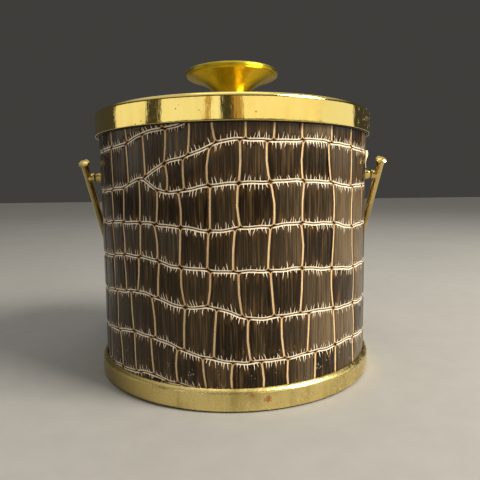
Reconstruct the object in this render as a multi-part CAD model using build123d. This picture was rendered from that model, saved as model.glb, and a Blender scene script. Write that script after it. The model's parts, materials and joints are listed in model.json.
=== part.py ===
"""Insulated ice bucket: a vinyl-wrapped drum with brass trim, a lift-off lid and a swinging bail.

Millimetres. The origin is the centre of the underside, where the bucket stands. +Z is up, the
front faces -Y, and the bail turns about a line along X. Left is the -X side, seen from the front.
"""

import math
import os

from build123d import *

# ---------------------------------------------------------------- driving dimensions
BODY_R = 95.0            # outside of the vinyl wrap
WRAP_T = 1.2             # padded vinyl
DRUM_T = 0.8             # steel drum under the vinyl
BRASS_T = 0.8            # sheet of the base band and the lid

BASE_BAND_R = 97.8
BASE_BAND_TOP = 13.9
LID_R = 97.4
LID_BOTTOM = 163.4
LID_TOP = 178.7

LINER_TOP_R = 84.0       # inside, at the mouth
LINER_FLOOR_R = 80.0     # inside, at the floor
LINER_T = 2.0
LINER_FLOOR = 16.0       # height of the inside floor
MOUTH_TOP = 173.5        # top of the liner's rim
LINER_LIP_R = 96.2       # the rim turned down outside the wrap
LINER_LIP_BOTTOM = 162.9 # shows just below the lid's skirt

PIVOT_Z = 137.0          # height of the bail's pivots
ARM_X = 107.5            # from the middle plane to an arm's centre line
ARM_D = 5.3
ARM_TILT = 40.85         # degrees from straight down, when the grip rests on the back of the drum
STUB = 13.7              # arm above the pivot, to the middle of its button
GRIP_D = 9.0
GRIP_OVERHANG = 8.0      # grip beyond an arm's centre line
REST_GAP = 0.8           # grip to the drum, at rest

KNOB_R = 33.4
KNOB_BEAD_R = 2.0        # rolled edge of the knob
KNOB_TOP = 211.6

# ---------------------------------------------------------------- worked out from those
DRUM_OUT_R = BODY_R - WRAP_T
DRUM_IN_R = DRUM_OUT_R - DRUM_T
GRIP_REACH = (BODY_R + REST_GAP + GRIP_D / 2) / math.sin(math.radians(ARM_TILT))

# base, from the table up
PAD_R = 88.5
PAD_T = 1.4
BAND_LIFT = 0.6          # the pad carries the weight, so the band stands just off the table
FLOOR_BOARD_T = 3.0
FLOOR_BOARD_TOP = PAD_T + FLOOR_BOARD_T
DRUM_TOP = 171.5

# pivot hardware, along X from inside the wall to the arm
PIN_HEAD_IN, PIN_HEAD_OUT, PIN_HEAD_R = 88.4, 90.0, 4.0
PIN_R = 2.0
PIN_THREAD_R = 1.5
BUSH_IN = 90.3
BUSH_SHANK_R = 2.8
BUSH_BARREL_END = 102.2
BUSH_SHOULDER_R = 3.1    # where the barrel bears on the wall
BUSH_BARREL_R = 3.5      # at its widest
BUSH_END_R = 2.5         # by the washer
BUSH_BORE_R = PIN_R + 0.05
PLATE_T = 1.0            # curved plate that spreads the load inside the drum
NUT_T = 1.3
NUT_ACROSS_CORNERS_R = 5.2
WASHER_IN, WASHER_OUT, WASHER_R = 102.4, 103.3, 3.5
BOSS_FACE = 103.4
BOSS_R = 2.7             # at its face, flaring to the arm
BOSS_FLARE_R = 3.3
PIN_TIP = 109.0
HOLE_GAP = 0.05          # radial gap round parts that are screwed or pushed into holes

BUTTON_R = 4.0
BUTTON_T = 2.4
BUTTON_STUD_R = 1.25
BUTTON_STUD_L = 4.0
GRIP_WALL = 1.2
GRIP_SCREW_R = 1.5

# lid, from the mouth up
SEAL_GAP = 0.1
SEAL_T = 1.0
LID_LINER_T = 1.5
PLUG_R = 82.4            # what goes into the mouth
PLUG_BOTTOM = 162.0
PANEL_T = 1.5
LID_CROWN = 179.2        # top of the lid's sheet in the middle
KNOB_SCREW_R = 2.0
KNOB_SCREW_TOP = 196.0
ROSETTE_R = 17.0
ROSETTE_T = 1.5

OUT = "parts"


# ---------------------------------------------------------------- helpers
def save(name, shape):
    """Writes one node's STEP file."""
    export_step(shape, os.path.join(OUT, name + ".step"))


def turned(edges):
    """The solid made by turning a closed profile, drawn as (radius, height), about Z."""
    return revolve(Plane.XZ * make_face(edges), Axis.Z, 360)


def turned_polygon(*points):
    """The solid of revolution with a straight-sided profile."""
    return turned(Polyline(*points, close=True).edges())


def ring(inner, outer, low, high):
    """A flat ring or pipe about Z. An inner radius of 0 makes a disc."""
    return turned_polygon((inner, low), (outer, low), (outer, high), (inner, high))


def rod_x(radius, start, end, height=PIVOT_Z):
    """A round bar along X at the given height, from start to end."""
    return Pos((start + end) / 2, 0, height) * Rot(0, 90, 0) * Cylinder(radius, end - start)


def both_sides(name, right_part):
    """Saves a right-hand part and its mirror image."""
    save(name + "_right", right_part)
    save(name + "_left", mirror(right_part, about=Plane.YZ))


def hang(part):
    """Places a part of the bail, drawn hanging straight down from the origin, at rest."""
    return Pos(0, 0, PIVOT_Z) * Rot(ARM_TILT, 0, 0) * part


def dome_radius(radius, height):
    """Sphere radius of a cap with this base radius and height."""
    return (radius ** 2 + height ** 2) / (2 * height)


def dome_angle(radius, height):
    """Degrees from the top of that cap to its edge."""
    return math.degrees(math.asin(radius / dome_radius(radius, height)))


def button(stud_r, stud_l):
    """A domed disc on a stud. Its underside is at height 0 and the stud points down."""
    chamfer, dome = 0.3, 1.2
    disc = turned([
        Line((0, 0), (BUTTON_R - chamfer, 0)),
        Line((BUTTON_R - chamfer, 0), (BUTTON_R, chamfer)),
        Line((BUTTON_R, chamfer), (BUTTON_R, BUTTON_T - dome)),
        JernArc((0, BUTTON_T), (1, 0), dome_radius(BUTTON_R, dome), -dome_angle(BUTTON_R, dome)),
        Line((0, BUTTON_T), (0, 0)),
    ])
    return disc + ring(0, stud_r, -stud_l, 0)


# ---------------------------------------------------------------- drum and base
def pivot_holes(radius):
    """Both pivot holes, as one tool to cut with."""
    reach = BODY_R + 3
    return rod_x(radius, -reach, -reach / 2) + rod_x(radius, reach / 2, reach)


def base_pad():
    return ring(0, PAD_R, 0, PAD_T)


def base_band():
    """Tray with a flange under the drum and a rolled rim whose edge slopes in to the vinyl."""
    r, low, top = BASE_BAND_R, BAND_LIFT, BASE_BAND_TOP
    inner, edge_r = r - BRASS_T, BODY_R + 0.1
    foot_r, rim_r, slope = 1.8, 2.4, 0.1
    flange_r = PAD_R + 0.5
    return turned([
        Line((flange_r, low), (r - foot_r, low)),
        RadiusArc((r - foot_r, low), (r, low + foot_r), -foot_r),
        Line((r, low + foot_r), (r, top - rim_r)),
        RadiusArc((r, top - rim_r), (r - rim_r, top), -rim_r),
        Line((r - rim_r, top), (edge_r, top - slope)),
        Line((edge_r, top - slope), (edge_r, top - slope - BRASS_T)),
        Line((edge_r, top - slope - BRASS_T), (r - rim_r, top - BRASS_T)),
        RadiusArc((r - rim_r, top - BRASS_T), (inner, top - rim_r), rim_r - BRASS_T),
        Line((inner, top - rim_r), (inner, low + foot_r)),
        RadiusArc((inner, low + foot_r), (r - foot_r, low + BRASS_T), foot_r - BRASS_T),
        Line((r - foot_r, low + BRASS_T), (flange_r, low + BRASS_T)),
        Line((flange_r, low + BRASS_T), (flange_r, low)),
    ])


def drum():
    return ring(DRUM_IN_R, DRUM_OUT_R, PAD_T, DRUM_TOP) - pivot_holes(BUSH_SHANK_R + HOLE_GAP)


def body_wrap():
    return ring(DRUM_OUT_R, BODY_R, PAD_T, DRUM_TOP) - pivot_holes(BUSH_SHANK_R + HOLE_GAP)


def liner():
    """Tapered tub with a rim that caps the drum wall and turns down outside it."""
    lip_in, lip_out, lip_bottom = BODY_R + 0.1, LINER_LIP_R, LINER_LIP_BOTTOM
    rim_under = DRUM_TOP
    bead, edge = 1.0, 0.3
    floor_under = LINER_FLOOR - LINER_T
    return turned([
        Line((0, floor_under), (LINER_FLOOR_R + LINER_T, floor_under)),
        Line((LINER_FLOOR_R + LINER_T, floor_under), (LINER_TOP_R + LINER_T, rim_under)),
        Line((LINER_TOP_R + LINER_T, rim_under), (lip_in, rim_under)),
        Line((lip_in, rim_under), (lip_in, lip_bottom)),
        Line((lip_in, lip_bottom), (lip_out - edge, lip_bottom)),
        RadiusArc((lip_out - edge, lip_bottom), (lip_out, lip_bottom + edge), -edge),
        Line((lip_out, lip_bottom + edge), (lip_out, MOUTH_TOP - bead)),
        RadiusArc((lip_out, MOUTH_TOP - bead), (lip_out - bead, MOUTH_TOP), -bead),
        Line((lip_out - bead, MOUTH_TOP), (LINER_TOP_R + bead, MOUTH_TOP)),
        RadiusArc((LINER_TOP_R + bead, MOUTH_TOP), (LINER_TOP_R, MOUTH_TOP - bead), -bead),
        Line((LINER_TOP_R, MOUTH_TOP - bead), (LINER_FLOOR_R, LINER_FLOOR + 4)),
        RadiusArc((LINER_FLOOR_R, LINER_FLOOR + 4), (LINER_FLOOR_R - 4, LINER_FLOOR), 4),
        Line((LINER_FLOOR_R - 4, LINER_FLOOR), (0, LINER_FLOOR)),
        Line((0, LINER_FLOOR), (0, floor_under)),
    ])


def wall_insulation():
    """Foam between liner and drum, with a pocket round each pivot's nut and pin head."""
    gap, low = 0.3, LINER_FLOOR - LINER_T
    outer = DRUM_IN_R - PLATE_T
    foam = turned_polygon(
        (LINER_FLOOR_R + LINER_T + gap, low), (outer, low),
        (outer, DRUM_TOP - 0.5), (LINER_TOP_R + LINER_T + gap, DRUM_TOP - 0.5))
    pocket = rod_x(8.0, PIN_HEAD_IN - 1.4, outer + 1)
    return foam - pocket - mirror(pocket, about=Plane.YZ)


def floor_insulation():
    return ring(0, DRUM_IN_R - PLATE_T, FLOOR_BOARD_TOP, LINER_FLOOR - LINER_T)


def build_base_and_drum():
    save("base_pad", base_pad())
    save("base_band", base_band())
    save("floor_board", ring(0, DRUM_IN_R, PAD_T, FLOOR_BOARD_TOP))
    save("drum", drum())
    save("body_wrap", body_wrap())
    save("wall_insulation", wall_insulation())
    save("floor_insulation", floor_insulation())
    save("liner", liner())


# ---------------------------------------------------------------- pivots in the drum wall
def pivot_bush():
    """Ball-shaped spacer outside the wall, with a shank through it."""
    profile = [
        Line((BUSH_BORE_R, BUSH_IN), (BUSH_SHANK_R, BUSH_IN)),
        Line((BUSH_SHANK_R, BUSH_IN), (BUSH_SHANK_R, BODY_R)),
        Line((BUSH_SHANK_R, BODY_R), (BUSH_SHOULDER_R, BODY_R)),
        ThreePointArc((BUSH_SHOULDER_R, BODY_R), (BUSH_BARREL_R, BODY_R + 3),
                      (BUSH_END_R, BUSH_BARREL_END)),
        Line((BUSH_END_R, BUSH_BARREL_END), (BUSH_BORE_R, BUSH_BARREL_END)),
        Line((BUSH_BORE_R, BUSH_BARREL_END), (BUSH_BORE_R, BUSH_IN)),
    ]
    return Pos(0, 0, PIVOT_Z) * Rot(0, 90, 0) * turned(profile)


def backing_plate():
    """Curved steel plate inside the drum, round the bush."""
    width, height = 30.0, 34.0
    window = Pos(DRUM_IN_R, 0, PIVOT_Z) * Box(20, width, height)
    pipe = ring(DRUM_IN_R - PLATE_T, DRUM_IN_R, PIVOT_Z - height, PIVOT_Z + height)
    hole = rod_x(BUSH_SHANK_R + HOLE_GAP, DRUM_IN_R - 5, DRUM_IN_R + 5)
    return (pipe & window) - hole


def bush_nut():
    """Thin hexagon nut that clamps the bush to the wall."""
    face = DRUM_IN_R - PLATE_T - 0.2
    blank = extrude(RegularPolygon(NUT_ACROSS_CORNERS_R, 6), NUT_T)
    nut = Pos(face - NUT_T, 0, PIVOT_Z) * Rot(0, 90, 0) * blank
    return nut - rod_x(BUSH_SHANK_R + HOLE_GAP, face - 5, face + 5)


def build_wall_pivots():
    both_sides("pivot_bush", pivot_bush())
    both_sides("backing_plate", backing_plate())
    both_sides("bush_nut", bush_nut())


# ---------------------------------------------------------------- bail
def pivot_pin():
    """Shouldered screw: head inside the wall, thread in the arm."""
    head = rod_x(PIN_HEAD_R, PIN_HEAD_IN, PIN_HEAD_OUT)
    shank = rod_x(PIN_R, PIN_HEAD_OUT, BOSS_FACE)
    thread = rod_x(PIN_THREAD_R, BOSS_FACE, PIN_TIP)
    return head + shank + thread


def pivot_washer():
    return rod_x(WASHER_R, WASHER_IN, WASHER_OUT) - rod_x(PIN_R + HOLE_GAP, 100, 108)


def bail_arm():
    """Straight rod with a boss at the pivot, drilled for the pin, the button and the screw."""
    top = STUB - BUTTON_T / 2
    bottom = -GRIP_REACH + GRIP_D / 2 - GRIP_WALL - 2
    rod = Pos(ARM_X, 0, (top + bottom) / 2) * Cylinder(ARM_D / 2, top - bottom)
    boss_end = ARM_X - 1
    boss = Pos((BOSS_FACE + boss_end) / 2, 0, 0) * Rot(0, 90, 0) * Cone(
        BOSS_R, BOSS_FLARE_R, boss_end - BOSS_FACE)
    pin_hole = rod_x(PIN_THREAD_R + HOLE_GAP, BOSS_FACE - 1, PIN_TIP + 0.2, 0)
    stud_hole = Pos(ARM_X, 0, top) * Cylinder(BUTTON_STUD_R + HOLE_GAP, 2 * BUTTON_STUD_L + 0.4)
    screw_hole = Pos(ARM_X, 0, bottom) * Cylinder(GRIP_SCREW_R + HOLE_GAP, 12)
    return rod + boss - pin_hole - stud_hole - screw_hole


def arm_button():
    return Pos(ARM_X, 0, STUB - BUTTON_T / 2) * button(BUTTON_STUD_R, BUTTON_STUD_L)


def grip():
    """Tube across the bail, cross-drilled for both arms and their screws."""
    half = ARM_X + GRIP_OVERHANG
    tube = rod_x(GRIP_D / 2, -half, half, -GRIP_REACH)
    tube -= rod_x(GRIP_D / 2 - GRIP_WALL, -half, half, -GRIP_REACH)
    for x in (-ARM_X, ARM_X):
        tube -= Pos(x, 0, -GRIP_REACH + GRIP_D / 2) * Cylinder(ARM_D / 2 + HOLE_GAP, GRIP_D)
        tube -= Pos(x, 0, -GRIP_REACH - GRIP_D / 2) * Cylinder(GRIP_SCREW_R + HOLE_GAP, GRIP_D)
    return tube


def grip_plug():
    """Button that closes an end of the grip."""
    plug = button(GRIP_D / 2 - GRIP_WALL - HOLE_GAP, 5.0)
    return Pos(ARM_X + GRIP_OVERHANG, 0, -GRIP_REACH) * Rot(0, 90, 0) * plug


def grip_screws():
    """One screw up through the grip into each arm, as a pair of solids."""
    head_r, head_t, length = 2.8, 1.4, 11.0
    under_head = -GRIP_REACH - GRIP_D / 2
    screw = Pos(0, 0, under_head - head_t / 2) * Cylinder(head_r, head_t)
    screw += Pos(0, 0, under_head + length / 2) * Cylinder(GRIP_SCREW_R, length)
    return Compound(children=[hang(Pos(x, 0, 0) * screw) for x in (-ARM_X, ARM_X)])


def build_bail():
    both_sides("pivot_pin", pivot_pin())
    both_sides("pivot_washer", pivot_washer())
    both_sides("bail_arm", hang(bail_arm()))
    both_sides("arm_button", hang(arm_button()))
    both_sides("grip_plug", hang(grip_plug()))
    save("grip", hang(grip()))
    save("grip_screws", grip_screws())


# ---------------------------------------------------------------- lid
def crown(edge_r, edge_z, middle_z):
    """A slightly domed line from an edge in to the flat seat under the rosette."""
    flat_r = ROSETTE_R + 1
    between = (edge_r * 0.8, edge_z + (middle_z - edge_z) * 0.6)
    return ThreePointArc((edge_r, edge_z), between, (flat_r, middle_z))


def lid_shell():
    """Drawn sheet: a skirt, a rounded shoulder and a slightly crowned top."""
    inner, shoulder, edge = LID_R - BRASS_T, 2.6, 0.25
    edge_r, edge_under, crown_under = LID_R - shoulder, LID_TOP - BRASS_T, LID_CROWN - BRASS_T
    seat_r = ROSETTE_R + 1
    return turned([
        Line((inner + edge, LID_BOTTOM), (LID_R - edge, LID_BOTTOM)),
        RadiusArc((LID_R - edge, LID_BOTTOM), (LID_R, LID_BOTTOM + edge), -edge),
        Line((LID_R, LID_BOTTOM + edge), (LID_R, LID_TOP - shoulder)),
        RadiusArc((LID_R, LID_TOP - shoulder), (edge_r, LID_TOP), -shoulder),
        crown(edge_r, LID_TOP, LID_CROWN),
        Line((seat_r, LID_CROWN), (SCREW_HOLE_R, LID_CROWN)),
        Line((SCREW_HOLE_R, LID_CROWN), (SCREW_HOLE_R, crown_under)),
        Line((SCREW_HOLE_R, crown_under), (seat_r, crown_under)),
        crown(edge_r, edge_under, crown_under),
        RadiusArc((edge_r, edge_under), (inner, LID_TOP - shoulder), shoulder - BRASS_T),
        Line((inner, LID_TOP - shoulder), (inner, LID_BOTTOM + edge)),
        RadiusArc((inner, LID_BOTTOM + edge), (inner + edge, LID_BOTTOM), -edge),
    ])


PANEL_R = LID_R - 2.8
PANEL_UNDER = LID_TOP - BRASS_T - PANEL_T
LID_FLANGE_UNDER = MOUTH_TOP + SEAL_GAP + SEAL_T
SCREW_HOLE_R = KNOB_SCREW_R + 0.2


def lid_seal():
    return ring(86.0, 92.0, LID_FLANGE_UNDER - SEAL_T, LID_FLANGE_UNDER)


def lid_liner():
    """Moulded dish: a flange over the mouth and a hollow plug that goes into it."""
    bottom_r = PLUG_R - 1.0
    flange_r = LID_R - BRASS_T - HOLE_GAP
    floor = PLUG_BOTTOM + LID_LINER_T
    return turned_polygon(
        (SCREW_HOLE_R, PLUG_BOTTOM), (bottom_r - 2, PLUG_BOTTOM), (bottom_r, PLUG_BOTTOM + 2),
        (PLUG_R, LID_FLANGE_UNDER), (flange_r, LID_FLANGE_UNDER), (flange_r, PANEL_UNDER),
        (PLUG_R - LID_LINER_T, PANEL_UNDER), (bottom_r - LID_LINER_T, floor + 1),
        (bottom_r - LID_LINER_T - 1, floor), (SCREW_HOLE_R, floor))


def lid_insulation():
    gap, floor = 0.2, PLUG_BOTTOM + LID_LINER_T
    outer = PLUG_R - 1.0 - LID_LINER_T - 1 - gap
    return ring(SCREW_HOLE_R, outer, floor, PANEL_UNDER)


def lid_panel():
    """Stiffening disc under the sheet, crowned like it."""
    top, middle = LID_TOP - BRASS_T, LID_CROWN - BRASS_T
    return turned([
        Line((SCREW_HOLE_R, PANEL_UNDER), (PANEL_R, PANEL_UNDER)),
        Line((PANEL_R, PANEL_UNDER), (PANEL_R, top)),
        crown(PANEL_R, top, middle),
        Line((ROSETTE_R + 1, middle), (SCREW_HOLE_R, middle)),
        Line((SCREW_HOLE_R, middle), (SCREW_HOLE_R, PANEL_UNDER)),
    ])


def knob_rosette():
    top = LID_CROWN + ROSETTE_T
    return turned([
        Line((SCREW_HOLE_R, LID_CROWN), (ROSETTE_R, LID_CROWN)),
        ThreePointArc((ROSETTE_R, LID_CROWN), (ROSETTE_R - 0.8, LID_CROWN + ROSETTE_T * 0.75),
                      (ROSETTE_R - 2.5, top)),
        Line((ROSETTE_R - 2.5, top), (SCREW_HOLE_R, top)),
        Line((SCREW_HOLE_R, top), (SCREW_HOLE_R, LID_CROWN)),
    ])


def knob():
    """Trumpet knob: a waisted stem, a flare, a rolled edge and a dished top."""
    foot = LID_CROWN + ROSETTE_T
    bead = (KNOB_R - KNOB_BEAD_R, KNOB_TOP - KNOB_BEAD_R)
    bead_under = (bead[0] + KNOB_BEAD_R * 0.26, bead[1] - KNOB_BEAD_R * 0.966)
    bead_over = (bead[0] - KNOB_BEAD_R * 0.6, bead[1] + KNOB_BEAD_R * 0.8)
    dish = (0, KNOB_TOP - 3.6)
    hole_r = KNOB_SCREW_R + HOLE_GAP
    hole_top = KNOB_SCREW_TOP + 0.5
    return turned([
        Line((hole_r, foot), (12.6, foot)),
        Spline((12.6, foot), (9.6, foot + 5.5), (10.3, foot + 12), (13.3, foot + 18),
               (19.0, foot + 22.3), bead_under, tangents=((-0.3, 1), (1, 0.3))),
        ThreePointArc(bead_under, (bead[0] + KNOB_BEAD_R, bead[1]), bead_over),
        Spline(bead_over, (15, dish[1] + 1.0), dish, tangents=((-1, -0.35), (-1, 0))),
        Line(dish, (0, hole_top)),
        Line((0, hole_top), (hole_r, hole_top)),
        Line((hole_r, hole_top), (hole_r, foot)),
    ])


def knob_screw():
    head_r, head_t = 4.2, 2.4
    under_head = PLUG_BOTTOM - 1.0
    shank = ring(0, KNOB_SCREW_R, under_head, KNOB_SCREW_TOP)
    return shank + ring(0, head_r, under_head - head_t, under_head)


def knob_washer():
    return ring(SCREW_HOLE_R, 8.0, PLUG_BOTTOM - 1.0, PLUG_BOTTOM)


def build_lid():
    save("lid_shell", lid_shell())
    save("lid_seal", lid_seal())
    save("lid_liner", lid_liner())
    save("lid_insulation", lid_insulation())
    save("lid_panel", lid_panel())
    save("knob_rosette", knob_rosette())
    save("knob", knob())
    save("knob_screw", knob_screw())
    save("knob_washer", knob_washer())


os.makedirs(OUT, exist_ok=True)
build_base_and_drum()
build_wall_pivots()
build_bail()
build_lid()
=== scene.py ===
"""The looks of the ice bucket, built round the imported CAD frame.

The frame and every object are in metres. The wrap's pattern is laid out in millimetres and
degrees: an angle is measured round from the front (-Y) towards +X.
"""

import json
import math

import bpy
import numpy as np
from mathutils import Matrix, Vector


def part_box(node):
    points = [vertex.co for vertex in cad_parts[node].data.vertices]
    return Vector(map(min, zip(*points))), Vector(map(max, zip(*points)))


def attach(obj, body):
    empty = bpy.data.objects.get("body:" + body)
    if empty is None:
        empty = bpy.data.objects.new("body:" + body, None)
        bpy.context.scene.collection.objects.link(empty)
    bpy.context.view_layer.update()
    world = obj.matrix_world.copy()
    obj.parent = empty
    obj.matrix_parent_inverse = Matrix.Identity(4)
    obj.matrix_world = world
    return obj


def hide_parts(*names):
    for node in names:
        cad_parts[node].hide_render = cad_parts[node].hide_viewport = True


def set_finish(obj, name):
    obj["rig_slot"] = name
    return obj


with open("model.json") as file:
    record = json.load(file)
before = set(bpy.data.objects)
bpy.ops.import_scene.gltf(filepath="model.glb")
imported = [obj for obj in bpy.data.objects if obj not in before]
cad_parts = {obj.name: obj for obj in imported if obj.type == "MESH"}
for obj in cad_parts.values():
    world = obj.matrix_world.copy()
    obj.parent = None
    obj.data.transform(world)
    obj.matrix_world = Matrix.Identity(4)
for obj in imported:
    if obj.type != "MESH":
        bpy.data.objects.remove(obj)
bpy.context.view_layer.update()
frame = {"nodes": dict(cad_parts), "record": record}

MM = 0.001
NODES = frame["nodes"]


# ---------------------------------------------------------------- places read from the frame
def low(node):
    """Lowest corner of a CAD node, in mm."""
    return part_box(node)[0] / MM


def high(node):
    """Highest corner of a CAD node, in mm."""
    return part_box(node)[1] / MM


WRAP_R = high("body_wrap").x
WRAP_IN_R = high("drum").x
WRAP_BOTTOM = low("body_wrap").z
WRAP_TOP = high("body_wrap").z
LID_R = high("lid_shell").x
LID_BOTTOM = low("lid_shell").z
LID_EDGE_TOP = high("lid_liner").z + 2.3   # the panel's and the sheet's thickness above the liner
LID_CROWN = low("knob_rosette").z
BASE_BAND_R = high("base_band").x
BASE_BAND_BOTTOM = low("base_band").z
BASE_BAND_TOP = high("base_band").z
BRASS_T = 0.8             # sheet of the base band and the lid
KNOB_BEAD_R = 2.2         # rolled edge of the knob
KNOB_DISH = 3.6           # how far the middle of the knob's top lies below its rim
KNOB_R = high("knob").x
KNOB_FOOT = low("knob").z
KNOB_TOP = high("knob").z
TAB_ANGLE, TAB_BOTTOM, TAB_TOP = 77.5, 140.5, 152.5   # the loose corner of the vinyl


# ---------------------------------------------------------------- mesh helpers
def make_piece(name, vertices, faces, body, slot):
    """A smooth-shaded mesh object, in mm, that rides on a body and takes a record slot's finish."""
    mesh = bpy.data.meshes.new(name)
    mesh.from_pydata([tuple(v) for v in np.asarray(vertices) * MM], [], faces)
    mesh.shade_smooth()
    mesh.update()
    piece = bpy.data.objects.new(name, mesh)
    bpy.context.scene.collection.objects.link(piece)
    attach(piece, body)
    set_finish(piece, slot)
    return piece


def store(piece, name, values):
    """Keeps one vector for each vertex, for the materials to read."""
    layer = piece.data.attributes.new(name, "FLOAT_VECTOR", "POINT")
    layer.data.foreach_set("vector", np.asarray(values, np.float32).ravel())


def smooth_curve(points):
    """A smooth function through (place, value) points, level beyond both ends."""
    places, values = np.array(points, float).T
    slopes = np.gradient(values, places)

    def at(x):
        x = np.clip(x, places[0], places[-1])
        k = np.clip(np.searchsorted(places, x) - 1, 0, len(places) - 2)
        h = places[k + 1] - places[k]
        t = (x - places[k]) / h
        return (values[k] * (1 + 2 * t) * (1 - t) ** 2 + values[k + 1] * t * t * (3 - 2 * t)
                + h * t * (1 - t) * (slopes[k] * (1 - t) - slopes[k + 1] * t))

    return at


def smoothstep(low_end, high_end, x):
    """0 below low_end, 1 above high_end, smooth between."""
    t = np.clip((x - low_end) / (high_end - low_end), 0, 1)
    return t * t * (3 - 2 * t)


def arc(centre, radius, start, end, count):
    """Points (radius out, height) along an arc, with angles in degrees from straight out."""
    turns = np.radians(np.linspace(start, end, count))
    return [(centre[0] + radius * math.cos(a), centre[1] + radius * math.sin(a)) for a in turns]


def bezier(start, start_pull, end_pull, end, count):
    """Points along a cubic curve, without its last one."""
    t = np.linspace(0, 1, count, endpoint=False)[:, None]
    a, b, c, d = np.array([start, start_pull, end_pull, end], float)
    curve = a * (1 - t) ** 3 + 3 * b * t * (1 - t) ** 2 + 3 * c * t * t * (1 - t) + d * t ** 3
    return [tuple(p) for p in curve]


def turned(points, angle):
    """Points (radius, height) as places at an angle round Z, in radians from the front."""
    out = np.array([math.sin(angle), -math.cos(angle)])
    return np.column_stack([points[:, :1] * out, points[:, 1]])


def lathe(name, outline, segments, body, slot, wobble=None):
    """Turns a closed outline of (radius, height) points round Z. wobble(angle, points) may shift
    the points of one segment, as dents and uneven rolling do."""
    outline = np.array(outline, float)
    count = len(outline)
    vertices = []
    for k in range(segments):
        angle = 2 * math.pi * k / segments
        points = outline if wobble is None else wobble(angle, outline.copy())
        vertices.append(turned(points, angle))
    faces = []
    for k in range(segments):
        here, there = k * count, (k + 1) % segments * count
        for j in range(count):
            after = (j + 1) % count
            faces.append((here + j, there + j, there + after, here + after))
    return make_piece(name, np.concatenate(vertices), faces, body, slot)


def lathe_to_axis(name, outline, segments, body, slot):
    """Turns an open outline whose first and last points lie on the axis, closed by two fans."""
    outline = np.array(outline, float)
    ring = outline[1:-1]
    count = len(ring)
    vertices = [turned(ring, 2 * math.pi * k / segments) for k in range(segments)]
    vertices.append([(0, 0, outline[0, 1]), (0, 0, outline[-1, 1])])
    first, last = segments * count, segments * count + 1
    faces = []
    for k in range(segments):
        here, there = k * count, (k + 1) % segments * count
        faces += [(here + j, there + j, there + j + 1, here + j + 1) for j in range(count - 1)]
        faces.append((there, here, first))
        faces.append((here + count - 1, there + count - 1, last))
    return make_piece(name, np.concatenate(vertices), faces, body, slot)


# ---------------------------------------------------------------- reptile-grain vinyl
SCALE_WIDTH = 17.0        # mm, between upright creases
WIDTH_SPREAD = (0.88, 1.14)   # how far the widths stray from it, as factors
NARROWEST = 5             # mm, left over at the end of a row
LEAN = 2.2                # mm: how far an upright crease leans from its foot to its head
BOW = 1.5                 # mm: how far its middle bows out
HALF_GROOVE = 0.34        # dark fold along the middle of a level crease
LINE = 0.70               # width of the pale line beside it
CORNER = 2.4              # rounding of a scale's corners
UPRIGHT_NARROWING = 1.3   # an upright crease is that much narrower than a level one
PLATEAU = 0.14            # how far the scales lie below the vinyl's nominal surface
VALLEY = 0.5              # how far the creases lie below the scales
FOLD = 0.3                # how much deeper the fold is
CROWN = 0.2               # how far a scale's middle stands above its edges
TILT = 0.1                # how far a scale's edges are tipped up or down
TICK_GAP = 1.95           # between the short wrinkles that cross a level crease
TICK_LENGTH = (2.2, 5.4)
TICK_EDGE = 0.78          # value of the tick attribute along a wrinkle's outline
TICK_DEPTH = 0.16
TICK_SHARE = 0.88         # of the places where a wrinkle could be
TICK_STRAY = 0.4          # how far a wrinkle is shifted or slanted
SEAM_DEPTH = 0.25         # how far the sheet's two ends are pressed in at the seam
SIDE_STEPS = (0.4, 0.75, 1.2, 1.9)                  # mesh columns beside an upright crease
END_STEPS = (0.0, 0.33, 0.65, 1.0, 1.6, 2.6, 4.2)   # mesh rows beside a level crease
OUTER = HALF_GROOVE + LINE


def rounded_distance(across, along):
    """Distance from a scale's outline, in mm, where its corners are rounded."""
    q = np.maximum(CORNER - (across * UPRIGHT_NARROWING + HALF_GROOVE), 0)
    p = np.maximum(CORNER - along, 0)
    return CORNER - np.hypot(q, p)


class Creases:
    """Upright creases of one row: their places in mm, and how each leans and bows."""

    def __init__(self, places, start, end, rng):
        self.places = np.array([start, *places, end], float)
        count = len(self.places)
        self.lean = rng.uniform(-LEAN, LEAN, count)
        self.bow = rng.uniform(-BOW, BOW, count)
        self.lean[[0, -1]] = 0
        self.bow[[0, -1]] = 0

    def at(self, index, t):
        """Place of a crease at a height t, from 0 at the row's bottom to 1 at its top."""
        return self.places[index] + self.lean[index] * (t - 0.5) + self.bow[index] * 4 * t * (1 - t)


def row_places(front, start, end, rng):
    """Fills a row with creases beyond the chosen ones, out to its ends."""
    places = sorted(front)
    room = SCALE_WIDTH * 1.4
    while places[-1] + room < end:
        places.append(places[-1] + SCALE_WIDTH * rng.uniform(*WIDTH_SPREAD))
    while places[0] - room > start:
        places.insert(0, places[0] - SCALE_WIDTH * rng.uniform(*WIDTH_SPREAD))
    return [p for p in places if start + NARROWEST < p < end - NARROWEST]


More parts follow.
